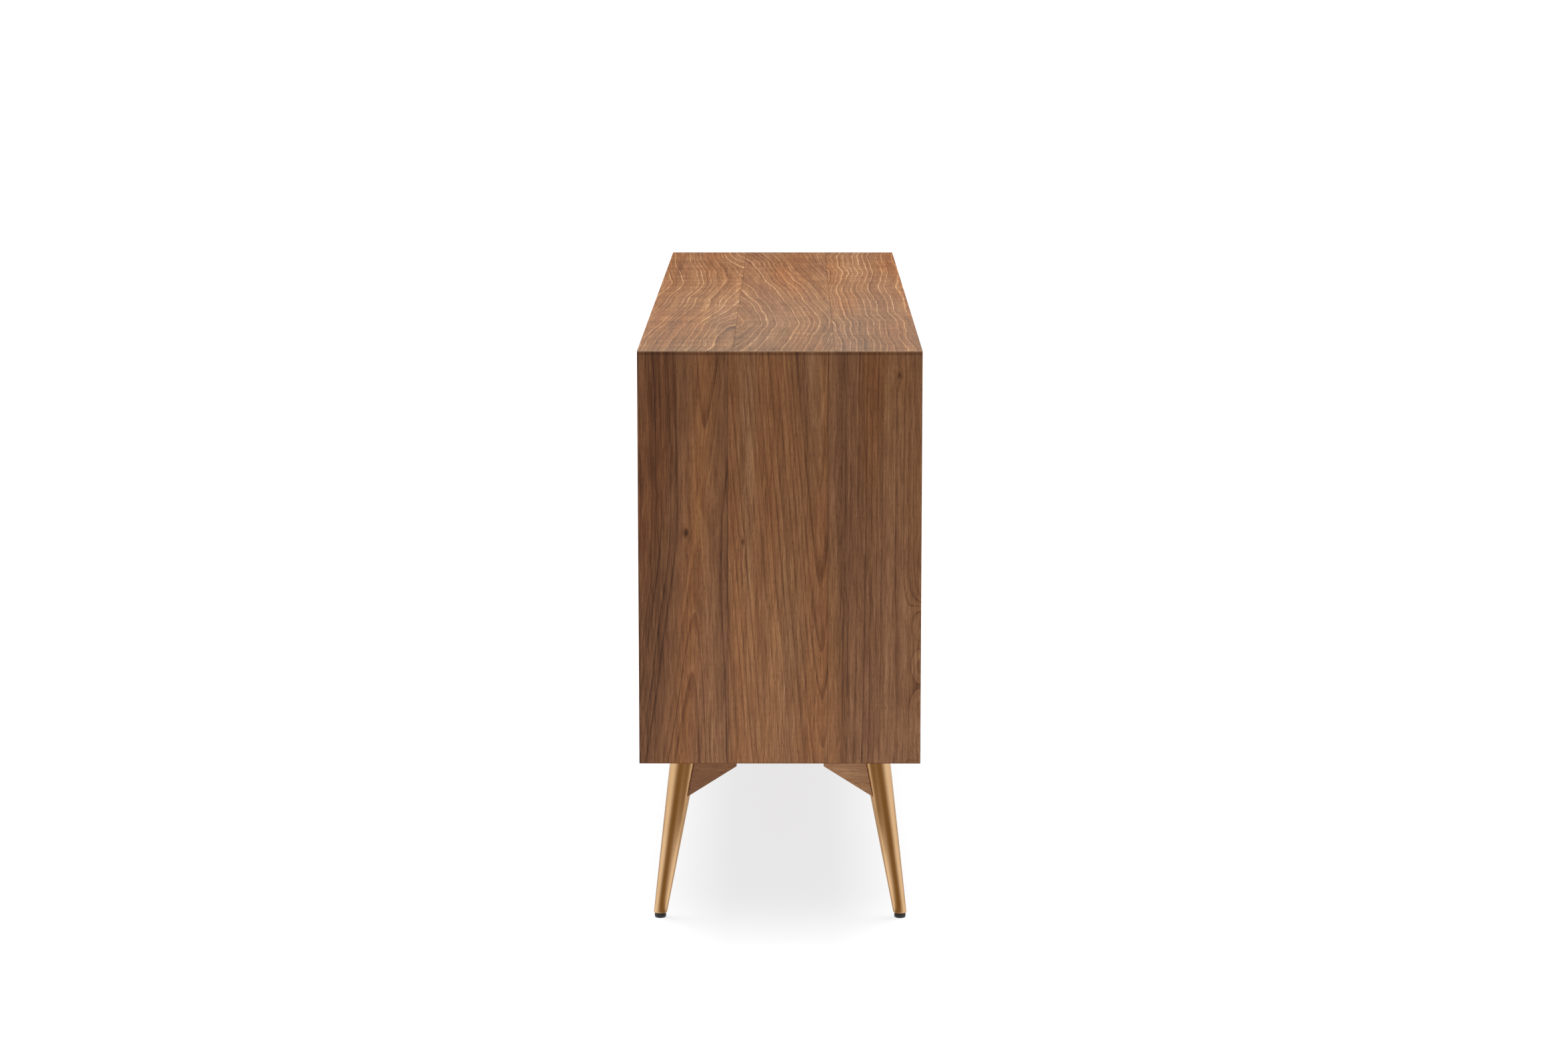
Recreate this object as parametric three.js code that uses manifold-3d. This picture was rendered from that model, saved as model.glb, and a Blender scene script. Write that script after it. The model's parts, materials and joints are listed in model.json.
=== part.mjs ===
// A mid-century sideboard: a mitred walnut case on four splayed, tapered brass legs, each leg stiffened by
// a walnut bracket. Two doors on knife hinges stand either side of three drawers on side-mounted slides.
//
// Millimetres. X runs along the length, Y from the front (-) to the back (+) and Z up from the floor. The
// origin is on the floor, under the middle of the case. Left and right are those of someone facing the front.
import * as THREE from "three";
import { mergeVertices } from "three/addons/utils/BufferGeometryUtils.js";
import Module from "manifold-3d";

const wasm = await Module();
wasm.setup();

// --- Driving dimensions ------------------------------------------------------------------------------

const LENGTH = 1600;
const DEPTH = 400;
const HEIGHT = 850;
const CASE_HEIGHT = 590;

const CASE_BOARD = 22; // thickness of the top, the bottom and the two ends
const MITRE_EASE = 0.2; // taken off each mitre, so that the boards meet on a hairline
const REBATE = 10; // the back panel's rebate, both into the boards and in from the back
const BACK_BOARD = 6;
const BACK_PLAY = 0.5;
const DIVIDER_BOARD = 20;
const SHELF_BOARD = 18;
const SHELF_PLAY = 1;

const FRONT_BOARD = 19; // doors and drawer fronts
const FRONT_RECESS = 2; // how far the fronts sit behind the case's front edge
const FRONT_GAP = 3; // between a front and the case
const FINGER_GAP = 16; // the shadow gap that a hand goes into, over a drawer or beside a door
const FINGER_LIP = 5; // what the pull bevel leaves of a front's thickness
const STOP_GAP = 2; // between the back of the fronts and the dividers
const DRAWERS = 3;
const DRAWER_FRONT_WIDTH = 520;

const LEG_INSET = 129; // from the end of the case to the leg's centre plane
const FOOT_SPREAD = 177; // from the middle of the depth to the leg's axis, at the floor
const LEG_SPLAY = THREE.MathUtils.degToRad(8.7);
const LEG_TOP_RADIUS = 20.3;
const LEG_FOOT_RADIUS = 9.6;
const LEG_WALL = 2;
const LEG_CAP = 6; // thickness of the leg's closed top
const LEG_SIDES = 48;
const BRACKET_BOARD = 22;
const BRACKET_REACH = 63.4; // from the middle of the depth to the bracket's inner end
const BRACKET_TIP = 31; // the bracket's height at its inner end
const BRACKET_SLOPE = 0.635; // how fast its lower edge falls towards the leg
const PLAY = 0.3; // between pieces that meet at an angle

// --- Places worked out from them ---------------------------------------------------------------------

const CASE_FLOOR = HEIGHT - CASE_HEIGHT;
const END = LENGTH / 2;
const BACK = DEPTH / 2;
const INNER_END = END - CASE_BOARD;
const INNER_LOW = CASE_FLOOR + CASE_BOARD;
const INNER_HIGH = HEIGHT - CASE_BOARD;
const BACK_PANEL_FRONT = BACK - REBATE;

const FACE = -BACK + FRONT_RECESS; // the plane of the closed fronts
const FACE_BACK = FACE + FRONT_BOARD;
const DIVIDER_FRONT = FACE_BACK + STOP_GAP;
const DRAWER_HALF = DRAWER_FRONT_WIDTH / 2;
const DIVIDER_MIDDLE = DRAWER_HALF + FINGER_GAP / 2;
const DIVIDER_IN = DIVIDER_MIDDLE - DIVIDER_BOARD / 2;
const DIVIDER_OUT = DIVIDER_MIDDLE + DIVIDER_BOARD / 2;
const DOOR_FREE = DRAWER_HALF + FINGER_GAP;
const DOOR_HUNG = INNER_END - FRONT_GAP;
const DOOR_LOW = INNER_LOW + FRONT_GAP;
const DOOR_HIGH = INNER_HIGH - FRONT_GAP;
const BEVEL = FRONT_BOARD - FINGER_LIP; // the pull bevel, at 45 degrees
const DRAWER_FRONT_HEIGHT = (DOOR_HIGH + FRONT_GAP - DOOR_LOW - DRAWERS * FINGER_GAP) / DRAWERS;

// --- Finishes ----------------------------------------------------------------------------------------

const finish = (color, roughness, metalness) =>
  new THREE.MeshStandardMaterial({ color, roughness, metalness });
const walnut = finish(0x7a543c, 0.5, 0);
const birch = finish(0xcbb08a, 0.55, 0);
const brass = finish(0xb5853f, 0.3, 1);
const steel = finish(0x9a9da0, 0.35, 1);
const blackPlastic = finish(0x1d1b1a, 0.6, 0);
const greyPlastic = finish(0x6d6a66, 0.6, 0);

// --- Helpers -----------------------------------------------------------------------------------------

// A box between two opposite corners, given in any order.
function block([x0, y0, z0], [x1, y1, z1]) {
  const box = new THREE.BoxGeometry(Math.abs(x1 - x0), Math.abs(y1 - y0), Math.abs(z1 - z0));
  return box.translate((x0 + x1) / 2, (y0 + y1) / 2, (z0 + z1) / 2);
}

// How an outline's own two axes and its run lie in the sideboard's frame. An outline that runs along X is
// drawn in (Y, Z), along Y in (X, Z) and along Z in (X, Y).
const LAY = {
  X: [new THREE.Vector3(0, 1, 0), new THREE.Vector3(0, 0, 1), new THREE.Vector3(1, 0, 0)],
  Y: [new THREE.Vector3(1, 0, 0), new THREE.Vector3(0, 0, 1), new THREE.Vector3(0, -1, 0)],
  Z: [new THREE.Vector3(1, 0, 0), new THREE.Vector3(0, 1, 0), new THREE.Vector3(0, 0, 1)],
};

// An outline, as a list of corners or a THREE.Shape, run out along an axis from one station to another.
function board(axis, outline, from, to) {
  const shape = outline instanceof THREE.Shape
    ? outline
    : new THREE.Shape(outline.map(([u, v]) => new THREE.Vector2(u, v)));
  const depth = Math.abs(to - from);
  const geometry = new THREE.ExtrudeGeometry(shape, { depth, bevelEnabled: false, curveSegments: 16 });
  geometry.applyMatrix4(new THREE.Matrix4().makeBasis(...LAY[axis]));
  const [, , run] = LAY[axis];
  const start = axis === "Y" ? -Math.max(from, to) : Math.min(from, to);
  return geometry.translate(run.x * start, run.y * start, run.z * start);
}

// A profile of (radius, height) turned about a vertical axis.
function turned(profile, sides) {
  const points = profile.map(([r, h]) => new THREE.Vector2(r, h));
  return new THREE.LatheGeometry(points, sides).rotateX(Math.PI / 2);
}

// A geometry as a solid that manifold-3d can cut or join.
function solid(geometry) {
  const bare = new THREE.BufferGeometry().setAttribute("position", geometry.getAttribute("position"));
  if (geometry.index) bare.setIndex(geometry.index);
  const merged = mergeVertices(bare, 1e-4);
  const vertProperties = new Float32Array(merged.attributes.position.array);
  const triVerts = new Uint32Array(merged.index.array);
  return new wasm.Manifold(new wasm.Mesh({ numProp: 3, vertProperties, triVerts }));
}

// A solid back as a geometry.
function geometryOf(body) {
  const { vertProperties, triVerts } = body.getMesh();
  const geometry = new THREE.BufferGeometry();
  geometry.setAttribute("position", new THREE.BufferAttribute(vertProperties, 3));
  geometry.setIndex(new THREE.BufferAttribute(triVerts, 1));
  geometry.computeVertexNormals();
  return geometry;
}

const cut = (geometry, ...tools) =>
  geometryOf(tools.reduce((body, tool) => body.subtract(solid(tool)), solid(geometry)));
const join = (geometry, other) => geometryOf(solid(geometry).add(solid(other)));

function piece(name, geometry, material) {
  const mesh = new THREE.Mesh(geometry, material);
  mesh.name = name;
  return mesh;
}

const SIDES = [
  { word: "left", sign: -1 },
  { word: "right", sign: 1 },
];
const ENDS = [
  { word: "front", sign: -1 },
  { word: "rear", sign: 1 },
];

// --- Knife hinges ------------------------------------------------------------------------------------
// Each hinge is two flat leaves that lie one on the other, one let into the case and one into the door's
// edge, and turn on a pin that stands on the door's leaf.

const LEAF = 2.5; // thickness
const LEAF_PROUD = 1.3; // how far a leaf stands out of its mortise
const LEAF_LENGTH = 50;
const LEAF_EYE = 6; // radius of the leaf's round end, and half its width
const PIN_RADIUS = 2.5;
const PIN_HOLE = 2.9;
const PIVOT_X = DOOR_HUNG - 14;
const PIVOT_Y = FACE + 8;
const HINGE_LEVELS = [
  { word: "lower", sign: -1, caseFace: INNER_LOW, doorFace: DOOR_LOW },
  { word: "upper", sign: 1, caseFace: INNER_HIGH, doorFace: DOOR_HIGH },
];

// A leaf's outline about the pivot: a bar with one round end, grown all round by spare.
function leafOutline(spare, hole) {
  const radius = LEAF_EYE + spare;
  const shape = new THREE.Shape();
  shape.absarc(0, 0, radius, Math.PI / 2, (3 * Math.PI) / 2, false);
  shape.lineTo(LEAF_LENGTH + spare, -radius);
  shape.lineTo(LEAF_LENGTH + spare, radius);
  if (hole) shape.holes.push(new THREE.Path().absarc(0, 0, hole, 0, 2 * Math.PI, true));
  return shape;
}

// A leaf, or the mortise for it, laid from the pivot towards the middle of the sideboard.
function leaf(side, low, high, { spare = 0, hole = 0 } = {}) {
  const plate = board("Z", leafOutline(spare, hole), low, high);
  return plate.rotateZ(side.sign > 0 ? Math.PI : 0).translate(side.sign * PIVOT_X, PIVOT_Y, 0);
}

const caseLeafSpan = ({ sign, caseFace }) => [caseFace - sign * LEAF_PROUD, caseFace + sign * (LEAF - LEAF_PROUD)];
const doorLeafSpan = ({ sign, doorFace }) => [doorFace + sign * LEAF_PROUD, doorFace - sign * (LEAF - LEAF_PROUD)];

const caseMortise = (side, level) =>
  leaf(side, level.caseFace - level.sign, caseLeafSpan(level)[1] + level.sign * PLAY, { spare: PLAY });
const doorMortise = (side, level) =>
  leaf(side, level.doorFace + level.sign, doorLeafSpan(level)[1] - level.sign * PLAY, { spare: PLAY });

function doorLeaf(side, level) {
  const [outer, inner] = doorLeafSpan(level);
  const pinEnd = caseLeafSpan(level)[1];
  const pin = new THREE.CylinderGeometry(PIN_RADIUS, PIN_RADIUS, Math.abs(pinEnd - inner), 24)
    .rotateX(Math.PI / 2)
    .translate(side.sign * PIVOT_X, PIVOT_Y, (pinEnd + inner) / 2);
  return join(leaf(side, outer, inner), pin);
}

// --- The case ----------------------------------------------------------------------------------------

const rebateCutter = block(
  [-INNER_END - REBATE, BACK_PANEL_FRONT, INNER_LOW - REBATE],
  [INNER_END + REBATE, BACK + 1, INNER_HIGH + REBATE],
);

// A board of the mitred box, from its outline seen from the front.
function caseBoard(name, outline, mortises) {
  const blank = board("Y", outline, -BACK, BACK);
  return piece(name, cut(blank, rebateCutter, ...mortises), walnut);
}

// The top or the bottom board, which tapers in thickness to its mitres.
function levelBoard(name, outerFace, innerFace, level) {
  const outer = END - MITRE_EASE;
  const inner = INNER_END - MITRE_EASE;
  const outline = [[-outer, outerFace], [outer, outerFace], [inner, innerFace], [-inner, innerFace]];
  return caseBoard(name, outline, SIDES.map((side) => caseMortise(side, level)));
}

function endBoard({ word, sign }) {
  const outline = [
    [sign * END, CASE_FLOOR + MITRE_EASE],
    [sign * END, HEIGHT - MITRE_EASE],
    [sign * INNER_END, INNER_HIGH - MITRE_EASE],
    [sign * INNER_END, INNER_LOW + MITRE_EASE],
  ];
  return caseBoard(`${word}_side_panel`, outline, []);
}

function backPanel() {
  const x = INNER_END + REBATE - BACK_PLAY;
  const low = INNER_LOW - REBATE + BACK_PLAY;
  const high = INNER_HIGH + REBATE - BACK_PLAY;
  const geometry = block([-x, BACK_PANEL_FRONT, low], [x, BACK_PANEL_FRONT + BACK_BOARD, high]);
  return piece("back_panel", geometry, walnut);
}

function divider({ word, sign }) {
  const low = [sign * DIVIDER_IN, DIVIDER_FRONT, INNER_LOW];
  const high = [sign * DIVIDER_OUT, BACK_PANEL_FRONT, INNER_HIGH];
  return piece(`${word}_divider`, block(low, high), walnut);
}

function shelf({ word, sign }) {
  const middle = (INNER_LOW + INNER_HIGH) / 2;
  const front = DIVIDER_FRONT + 17;
  const low = [sign * (DIVIDER_OUT + SHELF_PLAY), front, middle - SHELF_BOARD / 2];
  const high = [sign * (INNER_END - SHELF_PLAY), BACK_PANEL_FRONT - 4, middle + SHELF_BOARD / 2];
  return piece(`${word}_shelf`, block(low, high), walnut);
}

// The magnetic catch under the top board, behind the free corner of a door.
function doorCatch({ word, sign }) {
  const low = [sign * (DOOR_FREE + 24), FACE_BACK + 0.5, INNER_HIGH - 12];
  const high = [sign * (DOOR_FREE + 68), FACE_BACK + 14.5, INNER_HIGH];
  return piece(`${word}_door_catch`, block(low, high), greyPlastic);
}

function caseLeaf(side, level) {
  const geometry = leaf(side, ...caseLeafSpan(level), { hole: PIN_HOLE });
  return piece(`${side.word}_door_${level.word}_case_leaf`, geometry, brass);
}

function makeCase() {
  const group = new THREE.Group();
  group.add(levelBoard("top_panel", HEIGHT, INNER_HIGH, HINGE_LEVELS[1]));
  group.add(levelBoard("bottom_panel", CASE_FLOOR, INNER_LOW, HINGE_LEVELS[0]));
  group.add(backPanel());
  for (const side of SIDES) {
    group.add(endBoard(side), divider(side), shelf(side), doorCatch(side));
    for (const level of HINGE_LEVELS) group.add(caseLeaf(side, level));
  }
  return group;
}

// --- Legs --------------------------------------------------------------------------------------------
// A leg is a tapered tube, closed at the top and sawn level at both ends, so that it meets the case and its
// glide flat although it leans.

const GLIDE_HEIGHT = 7.5;
const GLIDE_RADIUS = 8.4;
const GLIDE_STEM = 5.5;
const LEG_SPARE = 8; // extra length at each end of the blank, which the level cuts take off
const LEG_X = END - LEG_INSET;
const legRadius = (height) =>
  THREE.MathUtils.mapLinear(height, GLIDE_HEIGHT, CASE_FLOOR, LEG_FOOT_RADIUS, LEG_TOP_RADIUS);
const axisY = (height) => FOOT_SPREAD - height * Math.tan(LEG_SPLAY);

// A turned blank moved on to a leg's leaning axis.
function onLegAxis(geometry, side, end) {
  return geometry
    .rotateX(end.sign * LEG_SPLAY)
    .translate(side.sign * LEG_X, end.sign * FOOT_SPREAD, 0);
}

// The leg's outer shape, filled, grown by spare and with extra length at both ends.
function legEnvelope(side, end, spare) {
  const low = -LEG_SPARE;
  const high = CASE_FLOOR + 2 * LEG_SPARE;
  const profile = [[0, low], [legRadius(low) + spare, low], [legRadius(high) + spare, high], [0, high]];
  return onLegAxis(turned(profile, LEG_SIDES), side, end);
}

function leg(side, end) {
  const low = -LEG_SPARE;
  const roof = CASE_FLOOR - LEG_CAP;
  const bore = onLegAxis(
    turned([[0, low], [legRadius(low) - LEG_WALL, low], [legRadius(roof) - LEG_WALL, roof], [0, roof]], LEG_SIDES),
    side,
    end,
  );
  const belowFloorCut = block([-END, -BACK, -4 * LEG_SPARE], [END, BACK, GLIDE_HEIGHT + PLAY]);
  const aboveTopCut = block([-END, -BACK, CASE_FLOOR - PLAY], [END, BACK, CASE_FLOOR + 4 * LEG_SPARE]);
  const geometry = cut(legEnvelope(side, end, 0), bore, belowFloorCut, aboveTopCut);
  return piece(`leg_${end.word}_${side.word}`, geometry, brass);
}

function glide(side, end) {
  const edge = 2; // the rounding where the glide meets the floor
  const rounding = [0, 30, 60, 90].map((degrees) => {
    const angle = THREE.MathUtils.degToRad(degrees);
    return [GLIDE_RADIUS - edge + edge * Math.sin(angle), edge - edge * Math.cos(angle)];
  });
  const profile = [
    [0, 0],
    ...rounding,
    [GLIDE_RADIUS, GLIDE_HEIGHT],
    [GLIDE_STEM, GLIDE_HEIGHT],
    [GLIDE_STEM, GLIDE_HEIGHT + 10],
    [0, GLIDE_HEIGHT + 10],
  ];
  const y = end.sign * axisY(GLIDE_HEIGHT);
  const geometry = turned(profile, 32).translate(side.sign * LEG_X, y, 0);
  return piece(`glide_${end.word}_${side.word}`, geometry, blackPlastic);
}

// The bracket fills the corner between the case and the leg. Its outer end is coped to the leg.
function bracket(side, end) {
  const tipLow = CASE_FLOOR - BRACKET_TIP;
  const splay = Math.tan(LEG_SPLAY);
  const fall = BRACKET_SLOPE * (FOOT_SPREAD - BRACKET_REACH);
  const meet = (tipLow - fall) / (1 - BRACKET_SLOPE * splay); // where the lower edge reaches the leg's axis
  const outline = [
    [end.sign * BRACKET_REACH, CASE_FLOOR],
    [end.sign * axisY(CASE_FLOOR), CASE_FLOOR],
    [end.sign * axisY(meet), meet],
    [end.sign * BRACKET_REACH, tipLow],
  ];
  const middle = side.sign * LEG_X;
  const blank = board("X", outline, middle - BRACKET_BOARD / 2, middle + BRACKET_BOARD / 2);
  const geometry = cut(blank, legEnvelope(side, end, PLAY));
  return piece(`leg_bracket_${end.word}_${side.word}`, geometry, walnut);
}

function makeUnderframe() {
  const group = new THREE.Group();
  for (const side of SIDES) {
    for (const end of ENDS) group.add(bracket(side, end), leg(side, end), glide(side, end));
  }
  return group;
}

// --- Doors -------------------------------------------------------------------------------------------

// The door's free edge is bevelled at the back, so that fingers in the shadow gap can pull it.
function door(side) {
  const { word, sign } = side;
  const outline = [
    [sign * DOOR_HUNG, FACE],
    [sign * DOOR_FREE, FACE],
    [sign * DOOR_FREE, FACE + FINGER_LIP],
    [sign * (DOOR_FREE + BEVEL), FACE_BACK],
    [sign * DOOR_HUNG, FACE_BACK],
  ];
  const group = new THREE.Group();
  const blank = board("Z", outline, DOOR_LOW, DOOR_HIGH);
  const mortises = HINGE_LEVELS.map((level) => doorMortise(side, level));
  group.add(piece(`${word}_door`, cut(blank, ...mortises), walnut));
  for (const level of HINGE_LEVELS) {
    group.add(piece(`${word}_door_${level.word}_hinge_leaf`, doorLeaf(side, level), brass));
  }
  return group;
}

// --- Drawers -----------------------------------------------------------------------------------------
// Every drawer is drawn from the lower edge of its own front and then lifted to its place.

const BOX_BOARD = 12;
const SLIDE_SPACE = 13; // between a divider and the side of a drawer
const BOX_OUT = DIVIDER_IN - SLIDE_SPACE;
const BOX_IN = BOX_OUT - BOX_BOARD;
const BOX_LENGTH = 340;
const BOX_BACK = FACE_BACK + BOX_LENGTH;
const BOX_LOW = 10;
const BOX_HIGH = 130;
const BASE_BOARD = 6;
const BASE_LOW = 18;
const GROOVE = 5; // depth of the groove that the base sits in
const SLIDE_LEVEL = 70; // height of the slides' middle

const SLIDE_SHEET = 1.6;
const CHANNEL_HALF = 22;
const CHANNEL_LIP = 10;
const RAIL_HALF = 17;
const RAIL_LIP = 9;
const CHANNEL_FRONT = DIVIDER_FRONT + 2;
const RAIL_FRONT = FACE_BACK + 2;
const CHANNEL_LENGTH = 340;
const RAIL_LENGTH = 336;

// The outline of a channel: a web at one place in x, with lips that reach away from it.
function channelOutline(web, reach, half) {
  const inner = web + Math.sign(reach) * SLIDE_SHEET;
  const tip = web + reach;
  const low = SLIDE_LEVEL - half;
  const high = SLIDE_LEVEL + half;
  return [
    [web, low],
    [tip, low],
    [tip, low + SLIDE_SHEET],
    [inner, low + SLIDE_SHEET],
    [inner, high - SLIDE_SHEET],
    [tip, high - SLIDE_SHEET],
    [tip, high],
    [web, high],
  ];
}

// The fixed half of a slide, on the divider.
function slideChannel(number, { word, sign }) {
  const outline = channelOutline(sign * DIVIDER_IN, -sign * CHANNEL_LIP, CHANNEL_HALF);
  const geometry = board("Y", outline, CHANNEL_FRONT, CHANNEL_FRONT + CHANNEL_LENGTH);
  return piece(`drawer_${number}_${word}_slide_channel`, geometry, steel);
}

// The moving half, on the drawer, which runs inside the channel.
function slideRail(number, { word, sign }) {
  const outline = channelOutline(sign * BOX_OUT, sign * RAIL_LIP, RAIL_HALF);
  const geometry = board("Y", outline, RAIL_FRONT, RAIL_FRONT + RAIL_LENGTH);
  return piece(`drawer_${number}_${word}_slide_rail`, geometry, steel);
}

const grooveLow = BASE_LOW - PLAY;
const grooveHigh = BASE_LOW + BASE_BOARD + PLAY;
const grooveDeep = GROOVE + PLAY;

// The front's upper edge is bevelled at the back for the fingers, and its back is grooved for the base.
function drawerFront() {
  const outline = [
    [FACE, 0],
    [FACE_BACK, 0],
    [FACE_BACK, DRAWER_FRONT_HEIGHT - BEVEL],
    [FACE + FINGER_LIP, DRAWER_FRONT_HEIGHT],
    [FACE, DRAWER_FRONT_HEIGHT],
  ];
  const groove = block(
    [-BOX_IN - grooveDeep, FACE_BACK - grooveDeep, grooveLow],
    [BOX_IN + grooveDeep, FACE_BACK + 1, grooveHigh],
  );
  return cut(board("X", outline, -DRAWER_HALF, DRAWER_HALF), groove);
}

function drawerSide({ sign }) {
  const outline = [
    [sign * BOX_OUT, BOX_LOW],
    [sign * BOX_OUT, BOX_HIGH],
    [sign * BOX_IN, BOX_HIGH],
    [sign * BOX_IN, grooveHigh],
    [sign * (BOX_IN + grooveDeep), grooveHigh],
    [sign * (BOX_IN + grooveDeep), grooveLow],
    [sign * BOX_IN, grooveLow],
    [sign * BOX_IN, BOX_LOW],
  ];
  return board("Y", outline, FACE_BACK, BOX_BACK);
}

function drawerBack() {
  const inner = BOX_BACK - BOX_BOARD;
  const outline = [
    [BOX_BACK, BOX_LOW],
    [BOX_BACK, BOX_HIGH],
    [inner, BOX_HIGH],
    [inner, grooveHigh],
    [inner + grooveDeep, grooveHigh],
    [inner + grooveDeep, grooveLow],
    [inner, grooveLow],
    [inner, BOX_LOW],
  ];
  return board("X", outline, -BOX_IN, BOX_IN);
}

function drawerBase() {
  const low = [-BOX_IN - GROOVE, FACE_BACK - GROOVE, BASE_LOW];
  const high = [BOX_IN + GROOVE, BOX_BACK - BOX_BOARD + GROOVE, BASE_LOW + BASE_BOARD];
  return block(low, high);
}

// A drawer and its slides. Number 1 is the lowest.
function drawer(number) {
  const group = new THREE.Group();
  const name = `drawer_${number}`;
  group.add(piece(`${name}_front`, drawerFront(), walnut));
  group.add(piece(`${name}_back`, drawerBack(), birch));
  group.add(piece(`${name}_base`, drawerBase(), birch));
  for (const side of SIDES) {
    group.add(piece(`${name}_${side.word}_side`, drawerSide(side), birch));
    group.add(slideRail(number, side), slideChannel(number, side));
  }
  group.position.z = DOOR_LOW + (number - 1) * (DRAWER_FRONT_HEIGHT + FINGER_GAP);
  return group;
}

// --- The sideboard -----------------------------------------------------------------------------------

const sideboard = new THREE.Group();
sideboard.add(makeCase(), makeUnderframe());
for (const side of SIDES) sideboard.add(door(side));
for (let number = 1; number <= DRAWERS; number++) sideboard.add(drawer(number));

export default sideboard;
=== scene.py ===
# %% [markdown]
# # A walnut sideboard
#
# The sideboard is a mitred walnut case on splayed brass legs, with two doors and three drawers. Its boards,
# legs, hinges and slides come from an engineering model, in metres: X runs along the length, Y from the front
# to the back and Z up from the floor. The model is exact but bare. This lesson gives each piece the edges,
# the fixings and the finish that it has in a real room.

# %% Load the engineering model
import json
import math

import bmesh
import bpy
from mathutils import Matrix, Vector


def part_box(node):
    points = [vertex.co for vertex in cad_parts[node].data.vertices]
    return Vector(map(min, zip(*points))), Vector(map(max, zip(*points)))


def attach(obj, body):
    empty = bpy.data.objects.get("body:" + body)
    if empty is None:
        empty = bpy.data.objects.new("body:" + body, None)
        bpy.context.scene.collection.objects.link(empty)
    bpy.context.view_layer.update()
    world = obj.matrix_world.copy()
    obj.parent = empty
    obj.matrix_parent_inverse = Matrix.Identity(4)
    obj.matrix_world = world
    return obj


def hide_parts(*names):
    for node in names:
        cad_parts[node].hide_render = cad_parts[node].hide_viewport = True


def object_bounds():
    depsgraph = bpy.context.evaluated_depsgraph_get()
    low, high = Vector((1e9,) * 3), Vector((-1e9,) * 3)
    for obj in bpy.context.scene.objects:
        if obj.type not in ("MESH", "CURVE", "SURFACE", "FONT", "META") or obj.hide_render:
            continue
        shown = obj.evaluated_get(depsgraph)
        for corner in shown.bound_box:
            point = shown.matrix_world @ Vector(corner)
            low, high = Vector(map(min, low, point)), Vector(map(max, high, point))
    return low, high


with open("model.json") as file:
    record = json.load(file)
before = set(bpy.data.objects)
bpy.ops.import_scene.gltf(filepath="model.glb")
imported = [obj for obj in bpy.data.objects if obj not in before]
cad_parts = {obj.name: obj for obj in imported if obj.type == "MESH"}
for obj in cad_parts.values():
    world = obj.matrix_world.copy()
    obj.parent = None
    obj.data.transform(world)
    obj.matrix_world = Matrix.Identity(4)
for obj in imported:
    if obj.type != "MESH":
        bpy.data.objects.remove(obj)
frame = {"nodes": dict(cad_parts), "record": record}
cad_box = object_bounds()
bodies = frame["record"]["behaviour"]["bodies"]
body_of_node = {node: body for body, nodes in bodies.items() for node in nodes}
END = cad_box[1].x
BACK = cad_box[1].y
TOP = cad_box[1].z
SIDES = {"left": -1, "right": 1}  # which way each half of the case lies from the middle
print(f"{len(frame['nodes'])} nodes on {len(bodies)} bodies, {2 * END:.2f} m long and {TOP:.2f} m high")

# %% [markdown]
# ## Camera
#
# The sideboard is seen end-on, by someone who stands five metres from its right-hand end and looks slightly
# down on it. A long lens keeps the case's sides almost parallel. A shifted lens could make them exactly
# parallel; this camera is tilted instead.

# %% Place the camera
def link(obj):
    bpy.context.scene.collection.objects.link(obj)
    return obj


camera_data = bpy.data.cameras.new("camera")
camera_data.lens = 84.77
camera_data.sensor_width = 36
camera = link(bpy.data.objects.new("camera", camera_data))
camera.location = (END + 5.135, 0.017, 1.433)
DOWN = math.radians(9.14)
TURN = math.radians(-0.124)
camera.rotation_euler = (math.pi / 2 - DOWN, 0, math.pi / 2 - TURN)
bpy.context.scene.camera = camera
bpy.context.scene.view_settings.view_transform = "Standard"
print(f"the camera is {camera.location.x - END:.2f} m from the end, {camera.location.z:.2f} m up")

# %% [markdown]
# ## Writing shaders as sums
#
# A finish is a tree of nodes, and a long tree is hard to read when each Math node takes three lines of code.
# The class below wraps one output of a node, and teaches Python's operators to add the Math nodes. After
# that, `1 - mask * 0.5` builds a tree just as it reads. Everything that isn't plain arithmetic goes through
# `node`, which takes the node's type, its settings and its inputs.


# %% A wire that can be added and multiplied
class Wire:
    """One output of a node, on which sums can be written."""

    def __init__(self, tree, socket):
        self.tree = tree
        self.socket = socket

    def __add__(self, other):
        return maths("ADD", self, other)

    def __sub__(self, other):
        return maths("SUBTRACT", self, other)

    def __rsub__(self, other):
        return maths("SUBTRACT", other, self)

    def __mul__(self, other):
        return maths("MULTIPLY", self, other)

    def __truediv__(self, other):
        return maths("DIVIDE", self, other)

    def __rtruediv__(self, other):
        return maths("DIVIDE", other, self)

    __radd__ = __add__
    __rmul__ = __mul__


def node(tree, kind, settings=None, inputs=None, out=0):
    """Adds a node: its settings first, then values or wires for its inputs. Returns one output as a wire."""
    made = tree.nodes.new(kind)
    for key, value in (settings or {}).items():
        if key == "stops":
            fill_ramp(made.color_ramp, value)
        else:
            setattr(made, key, value)
    for key, value in (inputs or {}).items():
        if isinstance(value, Wire):
            tree.links.new(value.socket, made.inputs[key])
        else:
            made.inputs[key].default_value = value
    return Wire(tree, made.outputs[out]) if made.outputs else None


def fill_ramp(ramp, stops):
    """Gives a colour ramp its (place, colour) stops."""
    while len(ramp.elements) < len(stops):
        ramp.elements.new(1)
    for element, (place, colour) in zip(ramp.elements, stops):
        element.position = place
        element.color = (*colour, 1)


def tree_of(*values):
    """The tree of the first wire among some values."""
    return next(value.tree for value in values if isinstance(value, Wire))


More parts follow.
